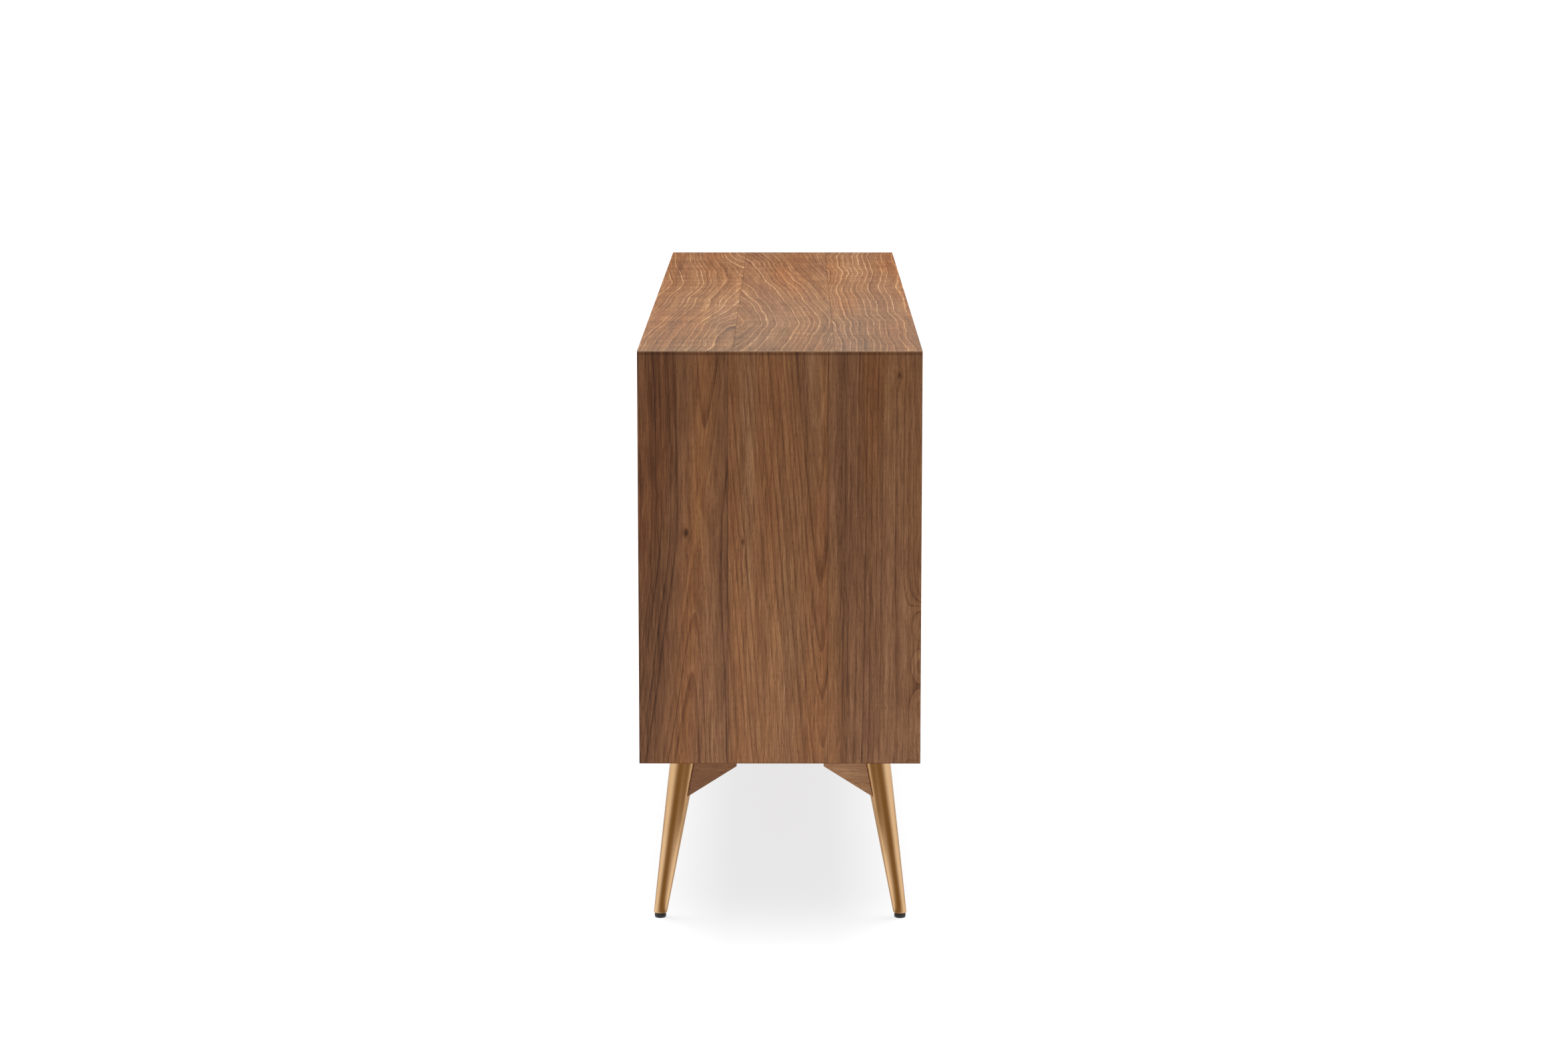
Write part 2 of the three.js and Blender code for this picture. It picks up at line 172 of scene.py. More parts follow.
def maths(operation, *values, clamp=False):
    settings = {"operation": operation, "use_clamp": clamp}
    return node(tree_of(*values), "ShaderNodeMath", settings, dict(enumerate(values)))


print("sums can be written on wires")


# %% Wires for coordinates, noise and colour
def vector(x, y, z):
    return node(tree_of(x, y, z), "ShaderNodeCombineXYZ", None, {0: x, 1: y, 2: z})


def noise(place, detail=2, roughness=0.5):
    """Smooth noise from 0 to 1, centred on a half, one cell to a unit."""
    inputs = {"Vector": place, "Scale": 1, "Detail": detail, "Roughness": roughness}
    return node(place.tree, "ShaderNodeTexNoise", None, inputs)


def step(value, low, high):
    """0 below low, 1 above high and a smooth climb between them. It falls instead if low is above high."""
    settings = {"interpolation_type": "SMOOTHSTEP"}
    if low < high:
        inputs = {"Value": value, "From Min": low, "From Max": high}
    else:
        inputs = {"Value": value, "From Min": high, "From Max": low, "To Min": 1, "To Max": 0}
    return node(value.tree, "ShaderNodeMapRange", settings, inputs)


def mix(factor, a, b, blend="MIX"):
    """Colour a, turning to colour b as the factor rises."""
    tree = tree_of(factor, a, b)
    a, b = (value if isinstance(value, Wire) else (*value, 1) for value in (a, b))
    settings = {"data_type": "RGBA", "blend_type": blend}
    return node(tree, "ShaderNodeMix", settings, {0: factor, 6: a, 7: b}, out=2)


def ramp(value, stops):
    return node(value.tree, "ShaderNodeValToRGB", {"stops": stops}, {"Fac": value})


print("wires for coordinates, noise and colour are ready")


# %% Start and finish a material
def new_finish(name):
    """A material with an empty tree, and its object coordinates as wires: x, y, z, and all three as place."""
    material = bpy.data.materials.new(name)
    material.use_nodes = True
    tree = material.node_tree
    tree.nodes.clear()
    place = node(tree, "ShaderNodeTexCoord", out="Object")
    split = node(tree, "ShaderNodeSeparateXYZ", None, {0: place}).socket.node
    axes = {axis: Wire(tree, split.outputs[i]) for i, axis in enumerate("xyz")}
    return material, tree, {**axes, "place": place}


def surface(tree, inputs, height=None, bump=0.2, depth=0.0002):
    """Ends a tree in a Principled shader. Height is a wire that raises the surface by up to depth metres."""
    if height is not None:
        bumped = {"Height": height, "Strength": bump, "Distance": depth}
        inputs = {**inputs, "Normal": node(tree, "ShaderNodeBump", None, bumped)}
    shader = node(tree, "ShaderNodeBsdfPrincipled", None, inputs, out="BSDF")
    node(tree, "ShaderNodeOutputMaterial", None, {"Surface": shader})


print("a material can be started and finished")

# %% [markdown]
# ## Floor and studio light
#
# The sideboard stands on a white sweep, as for a catalogue. A sweep is lit so strongly that it goes pure
# white, and only a pale grey shadow stays under the case. Here the floor gives off most of its own white, so
# that the shadow stays faint and the light from below is soft. That own light is painted light: it is weaker
# near the middle and climbs outwards, so it fills in the cast shadow except close to the case.
#
# Polished brass shows whatever surrounds it. A studio lays dark cards in front of round metal, so that it
# gets a dark heart between two bright bands. The floor does the same, but only in reflections: a dark wedge
# opens from each leg, away from the case, and the floor under the case is dimmer.

# %% Lay the floor
FLOOR_HALF = 120
# The floor's own light is painted light: weaker near the middle and white further out.
GLOW_NEAR, GLOW_FAR = (0.703, 0.713, 0.721), (1.0, 1.0, 1.0)  # the floor's own light
NEAR_FADE, FAR_FADE = (0.52, 0.82), (1.4, 4.5)  # where it climbs, in metres from the middle
# The dark of the painted reflections, which only glossy rays see on the floor.
PAINTED_REFLECTION_DARK = (0.22, 0.14, 0.05)
LEG_END, LEG_SIDE = 0.67, 0.15  # where the legs stand, from the middle, in metres
WEDGE_LEAN = 0.32  # how far a wedge leans outwards, for each metre ahead
WEDGE_HALF, WEDGE_CORE = math.radians(84), math.radians(12)
CASE_FROM, CASE_TO = math.radians(100), math.radians(130)


def floor_finish():
    material, tree, axes = new_finish("white_sweep")
    ahead = maths("ABSOLUTE", axes["x"]) - LEG_END
    aside = maths("ABSOLUTE", maths("ABSOLUTE", axes["y"]) - WEDGE_LEAN * ahead - LEG_SIDE)
    turn = maths("ARCTAN2", aside, ahead)
    wedge = step(turn, WEDGE_HALF, WEDGE_CORE)
    # Painted shade in reflections: the floor behind a leg, towards the case, looks dimmer to glossy rays.
    painted_case_shade = step(turn, CASE_FROM, CASE_TO) * 0.6
    mirrored = mix(maths("MAXIMUM", wedge, painted_case_shade), (1.0, 1.0, 1.0), PAINTED_REFLECTION_DARK)
    reflection = node(tree, "ShaderNodeEmission", None, {"Color": mirrored, "Strength": 1.0})
    distance = node(tree, "ShaderNodeVectorMath", {"operation": "LENGTH"}, {0: axes["place"]}, out="Value")
    # painted light: the glow climbs with distance from the middle, and fills in the cast shadow away from the
    # case
    whiter = step(distance, *NEAR_FADE) * 0.28 + step(distance, *FAR_FADE) * 0.72
    own_light = mix(whiter, GLOW_NEAR, GLOW_FAR)
    white = {"Base Color": (0.36, 0.36, 0.36, 1), "Roughness": 0.9, "Specular IOR Level": 0}
    glow = {"Emission Color": own_light, "Emission Strength": 1.0}
    plain = node(tree, "ShaderNodeBsdfPrincipled", None, {**white, **glow})
    glossy = node(tree, "ShaderNodeLightPath", out="Is Glossy Ray")
    shader = node(tree, "ShaderNodeMixShader", None, {0: glossy, 1: plain, 2: reflection})
    node(tree, "ShaderNodeOutputMaterial", None, {"Surface": shader})
    return material


def make_floor():
    mesh = bpy.data.meshes.new("floor")
    corners = [(x * FLOOR_HALF, y * FLOOR_HALF, 0) for x, y in ((-1, -1), (1, -1), (1, 1), (-1, 1))]
    mesh.from_pydata(corners, [], [(0, 1, 2, 3)])
    mesh.materials.append(floor_finish())
    link(bpy.data.objects.new("floor", mesh))


make_floor()
print("the floor is down")


# %% Hang the lights
def softbox(name, place, target, width, height, watts):
    """A rectangular area light at a place, turned to a target."""
    data = bpy.data.lights.new(name, "AREA")
    data.shape = "RECTANGLE"
    data.size, data.size_y, data.energy = width, height, watts
    light = link(bpy.data.objects.new(name, data))
    light.location = place
    aim = Vector(target) - Vector(place)
    light.rotation_euler = aim.to_track_quat("-Z", "Y").to_euler()
    return light


softbox("overhead", (-0.1, 0.0, 3.0), (-0.1, 0, 0), 1.9, 3.0, 104)
low_fill = softbox("low_fill", (END + 0.65, 0.0, 0.10), (END, 0, 0.30), 1.2, 0.15, 4.2)
low_fill.visible_camera = low_fill.visible_glossy = False
low_fill.data.color = (0.85, 1.0, 1.2)

world = bpy.data.worlds.new("studio")
bpy.context.scene.world = world
world.use_nodes = True
world.node_tree.nodes.clear()
direction = node(world.node_tree, "ShaderNodeTexCoord", out="Generated")
level = node(world.node_tree, "ShaderNodeSeparateXYZ", None, {0: direction}, out=2)
sky = ramp(level, [(0.0, (0.20, 0.20, 0.20)), (0.35, (0.34, 0.34, 0.34)), (1.0, (0.8, 0.8, 0.8))])
seen = node(world.node_tree, "ShaderNodeLightPath", out="Is Camera Ray")
sky = mix(seen, sky, (1.0, 1.0, 1.0))  # the room's walls look white, however dim their light is
background = node(world.node_tree, "ShaderNodeBackground", None, {"Color": sky, "Strength": 1.0})
node(world.node_tree, "ShaderNodeOutputWorld", None, {"Surface": background})
print("the lights are up")

# %% [markdown]
# ## Walnut
#
# A board is sawn from a trunk, so its figure is a slice through growth rings. Where the saw runs beside the
# heart the rings show as nested arches, and far from the heart they show as stripes. An image of wood can't
# follow every edge of a board, so here the rings are worked out in space. Each veneer leaf has a heart line
# that runs along it at some depth, and that rises or sinks a little on the way. A point's distance from the
# heart line, over the width of a ring, says which ring it is in.
#
# Over the rings go the things that belong to the surface: straight fibres, short dark pores, pin knots, the
# brown and orange clouds of heartwood, and a hairline where two leaves meet.

# %% The colours of walnut
WALNUT_STOPS = [
    (0.00, (0.036, 0.013, 0.0055)),
    (0.25, (0.100, 0.038, 0.0145)),
    (0.50, (0.182, 0.077, 0.0300)),
    (0.75, (0.285, 0.138, 0.0580)),
    (1.00, (0.470, 0.285, 0.1400)),
]
# The second colour is a painted highlight, for rounded edges where the light catches them.
DARK_LINE_BROWN, PAINTED_EDGE_HIGHLIGHT = (0.03, 0.012, 0.006), (0.52, 0.36, 0.24)
# The second grey is for a painted sheen: a pale wash that stands in for the lacquer's reflection.
PORE_BROWN, PAINTED_SHEEN_GREY = (0.052, 0.018, 0.007), (0.37, 0.46, 0.40)
ORANGE_TINT, COOL_TINT, GOLD_TINT = (1.09, 0.96, 0.84), (0.99, 0.985, 1.09), (1.06, 0.94, 0.72)
print(f"{len(WALNUT_STOPS)} browns, from the darkest to the palest")


# %% The heart line of one veneer leaf
def leaf(heart, depth, taper, *, lean=0.0, fold=-9.0, tone=0.0, seed=0.0):
    """One veneer leaf, as a table.

    heart is the heart line's place across the board, where the place along the grain is 0, and lean is how
    far it moves across for each metre along. depth is how far it lies below the face. taper is how far the
    rings close in on it for each metre away from fold, a place along the grain. Below 0, they open out.
    """
    shape = {"heart": heart, "depth": depth, "taper": taper, "lean": lean, "fold": fold}
    return {**shape, "tone": tone, "seed": seed}


print("a leaf is a table of", ", ".join(leaf(0, 0, 0)))

# %% The look of a board, unless it says otherwise
LOOK = {
    "ring": 0.007,  # width of a growth ring
    "wander": 0.012,  # how far the rings stray from the heart line's shape
    "ripple": 0.003,  # how far they waver in short waves
    "band": 0.26,  # contrast of broad bands of rings
    "strand": 0.30,  # contrast of narrow strands that follow the rings
    "late": 0.15,  # darkness of the line at the end of a ring
    "early": 0.05,  # lightness of the line at its start
    "stripe": 0.34,  # contrast of straight stripes
    "fibre": 0.46,  # contrast of the straight fibres
    "cross": 0.05,  # contrast of the cross-figure
    "cloud": 0.22,  # contrast of the clouds of colour
    "dashes": 0.40,  # darkness of the short dark dashes
    "dust": 0.0,  # how strongly a pale sheen is painted onto the wood, most of all at the right-hand end
    "sheen": 0.20,  # how strongly the lacquer shines
    "thick": 0.022,  # the board's thickness, in metres
}
KNOT_TURNS, EDDY_TURNS = 2.2, 6.5  # how many rings a swirl adds at its middle
print(f"a ring of walnut is {LOOK['ring'] * 1000:.0f} mm wide")


# %% Growth rings, worked out in space
def bump_at(u, v, centre_u, centre_v, half_u, half_v):
    """1 at a centre and less around it, falling to a quarter at half_u or half_v away."""
    away_u = (u - centre_u) / half_u
    away_v = (v - centre_v) / half_v
    near = 1 / (away_u * away_u + away_v * away_v + 1)
    return near * near


def growth_rings(u, v, w, seed, of_leaf, look, swirls):
    """Which ring a point lies in, counted from the heart line, and the two noises that bend the rings.

    A trunk tapers, so its rings are cones about the heart line. They also wander a little. Swirls are pairs:
    a list of (across, along, size), and how many rings each of them adds.
    """
    sway = noise(vector(u * 4, v * 1.8, seed), 2) - 0.5
    drift = noise(vector(u * 3, v * 1.5, seed + 4.1), 2) - 0.5
    ripple = noise(vector(u * 9, v * 7, seed + 8.3), 2, 0.55) - 0.5
    aside = u - of_leaf("heart") - v * of_leaf("lean") + sway * look["wander"] + ripple * look["ripple"]
    below = of_leaf("depth") + drift * look["wander"] + w * 0.1
    away = v - of_leaf("fold")
    cone = maths("SQRT", away * away + 0.003) * of_leaf("taper")
    rings = (maths("SQRT", aside * aside + below * below) + cone) / look["ring"]
    for places, turns in swirls:
        for centre_u, centre_v, size in places:
            rings = rings + bump_at(u, v, centre_u, centre_v, size, size * 1.8) * turns
    rings = rings + (noise(vector(rings * 0.31, seed, 0.0), 1) - 0.5) * 3.0
    return rings, sway, ripple


def ring_figure(rings, v, seed, look):
    """The tone of broad bands, narrow strands, and lines where one year's wood meets the next."""
    band = noise(vector(rings * 0.40, v * 0.9, seed), 3, 0.60) - 0.5
    strand = noise(vector(rings * 1.6, v * 3.0, seed + 1.7), 3, 0.65) - 0.5
    phase = maths("FRACT", rings)
    number = maths("FLOOR", rings)
    luck = node(rings.tree, "ShaderNodeTexWhiteNoise", {"noise_dimensions": "1D"}, {"W": number + seed})
    broken = step(noise(vector(rings * 0.8, v * 13, seed + 3.3), 2, 0.6), 0.30, 0.56) * 0.6 + 0.4
    late = step(phase, 0.55, 0.97) * step(phase, 1.0, 0.95) * step(luck, 0.05, 0.80) * broken
    early = step(phase, 0.26, 0.10) * step(luck, 0.95, 0.35)
    return band * look["band"] + strand * look["strand"] - late * look["late"] + early * look["early"]


print("rings and their figure can be worked out")


# %% What the surface adds: stripes, fibres and pores
def surface_grain(u, v, w, seed, sway):
    """Straight stripes, fibres and threads, short dark dashes and pores."""
    waver = noise(vector(u * 45, v * 26, seed), 2) - 0.5
    return {
        "stripe": noise(vector(u * 75 + sway * 0.6, v * 0.9, w * 75 + seed), 2, 0.6) - 0.5,
        "fibre": noise(vector(u * 330 + waver * 2.2, v * 15, w * 330 + seed), 3, 0.70) - 0.5,
        "thread": noise(vector(u * 900, v * 26, w * 900), 3, 0.65) - 0.5,
        "dash": step(noise(vector(u * 330, v * 26, w * 330 + seed), 2, 0.6), 0.58, 0.72),
        "pore": step(noise(vector(u * 1300, v * 110, w * 1300), 1), 0.60, 0.72),
    }


def without_lipping(w, thick):
    """1 where the rings show, and less on a board's edge, which is lipped with straight-grained wood."""
    deep = maths("ABSOLUTE", w)
    return 1 - step(deep, 0.0006, 0.0014) * step(thick - deep, 0.0006, 0.0014) * 0.9


print("the surface has its grain")


# %% A walnut finish, leaf by leaf
def walnut(
    name, across, along, into, seams, leaves, *,
    base=0.0, knots=(), eddies=(), streaks=(), edge_lines=(), **look,
):
    """A material of walnut veneer.

    across, along and into are the axes that run over the leaves, with the grain and into the board, and base
    is where the board's face lies on the last of them. Seams are places across. Knots and eddies are places
    (across, along) and sizes: the rings swirl round both, but only a knot is dark. Streaks are darker or
    lighter bands: a place across, how far it leans, a half width and a strength. Lines near both ends of the
    grain take a place, a half width and a strength each: above 0 a line is darker, and below 0 it is a pale
    painted highlight, as where the light catches a rounded edge.
    """
    look = {**LOOK, **look}
    material, tree, axes = new_finish(name)
    u, v = axes[across], axes[along]
    w = (maths("ABSOLUTE", axes[into]) if into == "x" else axes[into]) - base
    masks = [maths("GREATER_THAN", u, seam) for seam in seams]

    def of_leaf(key):
        total = leaves[0][key]
        for mask, one, after in zip(masks, leaves, leaves[1:]):
            if after[key] != one[key]:
                total = mask * (after[key] - one[key]) + total
        return total

    seed = of_leaf("seed")
    if into == "x":
        seed = seed + maths("LESS_THAN", axes["x"], 0.0) * 5.7  # the case's two ends are not alike
    swirls = ((knots, KNOT_TURNS), (eddies, EDDY_TURNS))
    rings, sway, ripple = growth_rings(u, v, w, seed, of_leaf, look, swirls)
    grain = surface_grain(u, v, w, seed, sway)
    cloud = noise(vector(u * 11, v * 1.4, seed + 2.2), 3, 0.55) - 0.5
    cross = noise(vector(u * 9 + ripple * 2, v * 34, seed), 3, 0.65) - 0.5

    tone = ring_figure(rings, v, seed, look) + cross * look["cross"]
    tone = tone * without_lipping(w, look["thick"]) + cloud * look["cloud"] + grain["stripe"] * look["stripe"]
    tone = tone + grain["fibre"] * look["fibre"] + grain["thread"] * 0.36
    warmth = 0.0
    for centre, lean, half, strength in streaks:
        away = (u - v * lean - centre + sway * 0.03) / half
        streak = 1 / (away * away + 1)
        tone = tone + streak * strength
        if strength > 0:
            warmth = streak + warmth
    for centre_u, centre_v, size in knots:
        tone = tone - bump_at(u, v, centre_u, centre_v, size * 0.7, size * 1.2) * 0.45
    tone = maths("ADD", tone + 0.5, of_leaf("tone"), clamp=True)

    colour = ramp(tone, WALNUT_STOPS)
    hue = noise(vector(u * 14, v * 1.3, seed + 6.6), 2)
    colour = mix(step(hue, 0.45, 0.70), colour, ORANGE_TINT, "MULTIPLY")
    colour = mix(step(hue, 0.55, 0.32), colour, COOL_TINT, "MULTIPLY")
    if streaks:
        colour = mix(warmth, colour, GOLD_TINT, "MULTIPLY")
    colour = mix(maths("MAXIMUM", grain["dash"] * look["dashes"], grain["pore"] * 0.55), colour, PORE_BROWN)
    # Painted sheen: the colour is washed towards a pale grey, most of all at the right-hand end, in place of
    # the lacquer's reflection.
    if look["dust"]:
        colour = mix((step(v, -0.6, END) * 0.9 + 0.1) * look["dust"], colour, PAINTED_SHEEN_GREY)
    for seam in seams:
        gap = step(maths("ABSOLUTE", u - seam), 0.0007, 0.0002)
        colour = mix(gap * 0.5, colour, DARK_LINE_BROWN)
    # Lines near the ends of the grain: darker ones, and pale painted highlights where the strength is below
    # 0.
    for line, half, strength in edge_lines:
        line_mask = step(maths("ABSOLUTE", maths("ABSOLUTE", v) - line), half, half * 0.3)
        colour = mix(line_mask * abs(strength), colour, DARK_LINE_BROWN if strength > 0 else PAINTED_EDGE_HIGHLIGHT)

    inputs = {"Base Color": colour, "Roughness": 0.54 - tone * 0.10 + grain["pore"] * 0.15}
    inputs["Specular IOR Level"] = look["sheen"]
    relief = grain["fibre"] * 0.3 + grain["thread"] * 0.5 - grain["pore"] * 0.8
    surface(tree, inputs, relief, bump=0.35, depth=0.00012)
    return material


print("a walnut finish can be made from its leaves")


# %% [markdown]
# The two ends are veneered with upright grain, in three leaves. From the front, the first has a dark edge,
# stripes that lean, and an arch near the floor; the second has a column of nested V shapes that come down
# from the top; the third is almost plain stripes. The top's grain runs the length of the case, in waves.

# %% Walnut for the case
SEAM_1 = -BACK + 0.317 * 2 * BACK
SEAM_2 = -BACK + 0.670 * 2 * BACK

walnut_ends = walnut(
    "walnut_ends", "y", "z", "x", [SEAM_1, SEAM_2],
    [
        leaf(-0.150, 0.012, -0.090, lean=0.06, fold=0.60, seed=1.3),
        leaf(0.063, 0.010, -0.075, lean=-0.008, fold=0.0, tone=0.06, seed=4.6),
        leaf(0.420, 0.050, 0.012, fold=0.0, tone=0.02, seed=7.1),
    ],
    base=END,
    knots=[(-0.132, 0.593, 0.005), (-0.052, 0.580, 0.004), (0.168, 0.816, 0.005)],
    eddies=[(0.202, 0.462, 0.020), (0.201, 0.402, 0.018), (0.202, 0.341, 0.022), (0.201, 0.290, 0.020)],
    streaks=[
        (-0.240, 0.07, 0.060, -0.23),
        (-0.168, 0.08, 0.018, 0.10),
        (-0.070, 0.0, 0.012, -0.06),
        (0.084, 0.0, 0.012, -0.12),
    ],
    # a dark line just under the top edge of each end, across the grain
    edge_lines=[(TOP - 0.0040, 0.0022, 0.45)],
    ring=0.0085, late=0.20, stripe=0.24, fibre=0.66, dashes=0.32,
)
walnut_top = walnut(
    "walnut_top", "y", "x", "z", [-0.066, 0.077],
    [
        leaf(-0.062, 0.030, -0.065, fold=-0.22, tone=0.015, seed=2.4),
        leaf(-0.070, 0.020, 0.080, fold=0.43, tone=-0.01, seed=5.5),
        leaf(0.270, 0.060, 0.006, fold=-0.5, tone=0.015, seed=8.9),
    ],
    base=TOP,
    # a pale painted highlight along the top's end edges, where the light would catch the rounded arris
    edge_lines=[(END - 0.0010, 0.0022, -0.45)],
    ring=0.0078, wander=0.044, ripple=0.008, cross=0.42, late=0.20, early=0.27,
    strand=0.44, band=0.40, fibre=0.46, dust=0.09, sheen=0.04,
)
walnut_bottom = walnut(
    "walnut_bottom", "y", "x", "z", [-0.050, 0.090],
    [
        leaf(-0.12, 0.02, 0.05, fold=0.3, seed=3.1),
        leaf(0.03, 0.02, 0.05, seed=6.2),
        leaf(0.3, 0.05, 0.02, seed=9.4),
    ],
    base=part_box("bottom_panel")[0].z,
)
print("three finishes for the case")

# %% [markdown]
# The doors and the drawer fronts are cut side by side from the same leaves, with the grain along the case, so
# that the figure runs on from one front to the next. The seams between the leaves lie in the shadow gaps of
# the drawers. The back, the dividers and the shelves get leaves of their own.

# %% Walnut for the fronts, the back and the inside
gap_1 = (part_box("drawer_1_front")[1].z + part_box("drawer_2_front")[0].z) / 2
gap_2 = (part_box("drawer_2_front")[1].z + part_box("drawer_3_front")[0].z) / 2
front_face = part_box("drawer_1_front")[0].y

walnut_fronts = walnut(
    "walnut_fronts", "z", "x", "y", [gap_1, gap_2],
    [
        leaf(0.375, 0.012, -0.060, fold=-0.45, tone=-0.01, seed=2.9),
        leaf(0.545, 0.014, -0.060, fold=0.25, tone=0.01, seed=5.2),
        leaf(0.745, 0.012, -0.060, fold=-0.10, tone=0.02, seed=8.2),
    ],
    base=front_face,
    thick=0.019,
)
walnut_back = walnut(
    "walnut_back", "z", "x", "y", [0.45, 0.66],
    [
        leaf(0.36, 0.012, -0.06, fold=0.4, seed=1.9),
        leaf(0.57, 0.012, -0.06, fold=-0.3, tone=-0.02, seed=4.4),
        leaf(0.76, 0.012, -0.06, fold=0.1, tone=0.02, seed=7.7),
    ],
    base=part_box("back_panel")[1].y,
    thick=0.006,
)
walnut_uprights = walnut(
    "walnut_uprights", "y", "z", "x", [-0.02],
    [leaf(-0.11, 0.012, -0.07, fold=0.4, seed=2.7), leaf(0.12, 0.012, -0.07, fold=0.7, tone=0.01, seed=6.8)],
    base=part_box("right_divider")[0].x,
    thick=0.020,
)
walnut_shelves = walnut(
    "walnut_shelves", "y", "x", "z", [0.03],
    [leaf(-0.07, 0.012, -0.06, fold=0.5, seed=3.7), leaf(0.13, 0.012, -0.06, fold=-0.5, tone=0.01, seed=8.1)],
    base=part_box("right_shelf")[1].z,
    thick=0.018,
)
BRACKET_LOOK = {"base": LEG_END, "band": 0.15, "strand": 0.20, "fibre": 0.30, "stripe": 0.20, "cloud": 0.10}
walnut_brackets = {}
# The rear brackets are a paler tone of walnut than the front ones.
for end, tone, seed in (("front", -0.03, 5.9), ("rear", 0.19, 3.3)):
    veneer = [leaf(0.12, 0.03, 0.02, tone=tone, seed=seed)]
    walnut_brackets[end] = walnut(f"walnut_{end}_brackets", "z", "y", "x", [], veneer, **BRACKET_LOOK)
print("six finishes for the fronts, the back, the inside and the brackets")

# %% [markdown]
# ## Birch, brass, steel and plastic
#
# The drawer boxes are birch plywood, which shows pale calm faces and striped edges, because every second ply
# is turned. The stripes come from the place across the thickness, so they appear by themselves on an edge.
# The legs are brass with a satin brush, which scratches it round and round. The slides are zinc-plated steel,
# whose surface is faintly mottled.


# %% Birch plywood
def birch_plywood(name, into, plies_from):
    """Plywood whose plies are stacked along one axis, from a place on it."""
    material, tree, axes = new_finish(name)
    along, across = (axes[axis] for axis in "xyz" if axis != into)
    ply = (maths("ABSOLUTE", axes[into]) - plies_from) / 0.0015
    turned_ply = step(maths("ABSOLUTE", maths("MODULO", ply, 2.0) - 1.0), 0.45, 0.55)
    flow = noise(vector(along * 3, across * 22, ply * 0.1), 3) - 0.5
    fibre = noise(vector(along * 14, across * 420, ply * 2), 3, 0.6) - 0.5
    flake = step(noise(vector(along * 120, across * 420, ply * 2), 1), 0.66, 0.76)
    tone = maths("ADD", flow * 0.5 + fibre * 0.35, 0.5, clamp=True)
    colour = ramp(tone, [(0.1, (0.50, 0.335, 0.185)), (0.5, (0.62, 0.445, 0.265)), (0.9, (0.72, 0.55, 0.36))])
    colour = mix(flake * 0.35, colour, (0.42, 0.26, 0.13))
    colour = mix(turned_ply * 0.55, colour, (0.50, 0.36, 0.24), "MULTIPLY")
    surface(tree, {"Base Color": colour, "Roughness": 0.46 + fibre * 0.2}, fibre, bump=0.2, depth=0.0001)
    return material


box_side_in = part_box("drawer_1_right_side")[0].x
box_back_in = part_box("drawer_1_back")[0].y
birch_sides = birch_plywood("birch_sides", "x", box_side_in)
birch_back = birch_plywood("birch_backs", "y", box_back_in)
birch_base = birch_plywood("birch_bases", "z", 0.0)
print("three cuts of birch plywood")


# %% Brass, steel and plastic
def satin_metal(name, dark, light, roughness, brushed=None):
    """A metal with a soft mottle and, if brushed is an axis, fine scratches that run round that axis."""
    material, tree, axes = new_finish(name)
    x, y, z = axes["x"], axes["y"], axes["z"]
    mottle = noise(vector(x * 22, y * 22, z * 16), 3)
    squeeze = dict.fromkeys("xyz", 40 if brushed else 300)
    if brushed:
        squeeze[brushed] = 900
    fine = noise(vector(x * squeeze["x"], y * squeeze["y"], z * squeeze["z"]), 2)
    colour = mix(step(mottle, 0.3, 0.7) * 0.8 + fine * 0.2, dark, light)
    rough = roughness + (mottle - 0.5) * 0.08 + (fine - 0.5) * 0.08
    surface(tree, {"Base Color": colour, "Metallic": 1.0, "Roughness": rough}, fine, bump=0.05, depth=0.00003)
    return material


def moulded_plastic(name, dark, light, roughness):
    """A plastic with the fine grain of an etched mould."""
    material, tree, axes = new_finish(name)
    x, y, z = axes["x"], axes["y"], axes["z"]
    grain = noise(vector(x * 1300, y * 1300, z * 1300), 2)
    scuff = noise(vector(x * 60, y * 60, z * 60), 3)
    colour = mix(scuff, dark, light)
    rough = roughness + (scuff - 0.5) * 0.2
    surface(tree, {"Base Color": colour, "Roughness": rough}, grain, bump=0.25, depth=0.0001)
    return material


brass_legs = satin_metal("satin_brass_legs", (0.74, 0.46, 0.23), (0.82, 0.53, 0.29), 0.25, "z")
brass_fittings = satin_metal("satin_brass_fittings", (0.66, 0.43, 0.18), (0.76, 0.52, 0.24), 0.30, "x")
zinc_steel = satin_metal("zinc_plated_steel", (0.48, 0.49, 0.50), (0.62, 0.63, 0.63), 0.34)
dark_steel = satin_metal("oiled_steel", (0.16, 0.16, 0.17), (0.24, 0.24, 0.25), 0.38)
black_plastic = moulded_plastic("black_plastic", (0.012, 0.011, 0.010), (0.022, 0.020, 0.018), 0.50)
grey_plastic = moulded_plastic("grey_plastic", (0.11, 0.105, 0.10), (0.16, 0.155, 0.15), 0.48)
# A near-black finish for the discs in the shelf-pin sockets: painted shade where the holes are.
painted_hole_shade = moulded_plastic("painted_hole_shade", (0.010, 0.006, 0.004), (0.016, 0.010, 0.007), 0.9)
print("brass, steel and plastic are mixed")

# %% [markdown]
# ## Easing the edges
#
# No real edge is sharp. A cabinet maker takes the arris off every board with two strokes of fine paper, and
# a stamped hinge leaf has a rolled edge. That small round catches the light and draws the outline of a board,
# so it matters more than its size. The engineering pieces are copied, their loose triangles are welded into
# whole faces again, and a Bevel modifier rounds the corners.

# %% Copy a node and ease its edges
EASE_ANGLE = math.radians(32)


def welded(node_name):
    """A copy of a node's mesh with its triangles joined into whole flat faces."""
    mesh = frame["nodes"][node_name].data.copy()
    work = bmesh.new()
    work.from_mesh(mesh)
    bmesh.ops.remove_doubles(work, verts=work.verts, dist=2e-6)
    bmesh.ops.dissolve_limit(work, angle_limit=math.radians(0.4), verts=work.verts, edges=work.edges)
    work.to_mesh(mesh)
    work.free()
    return mesh


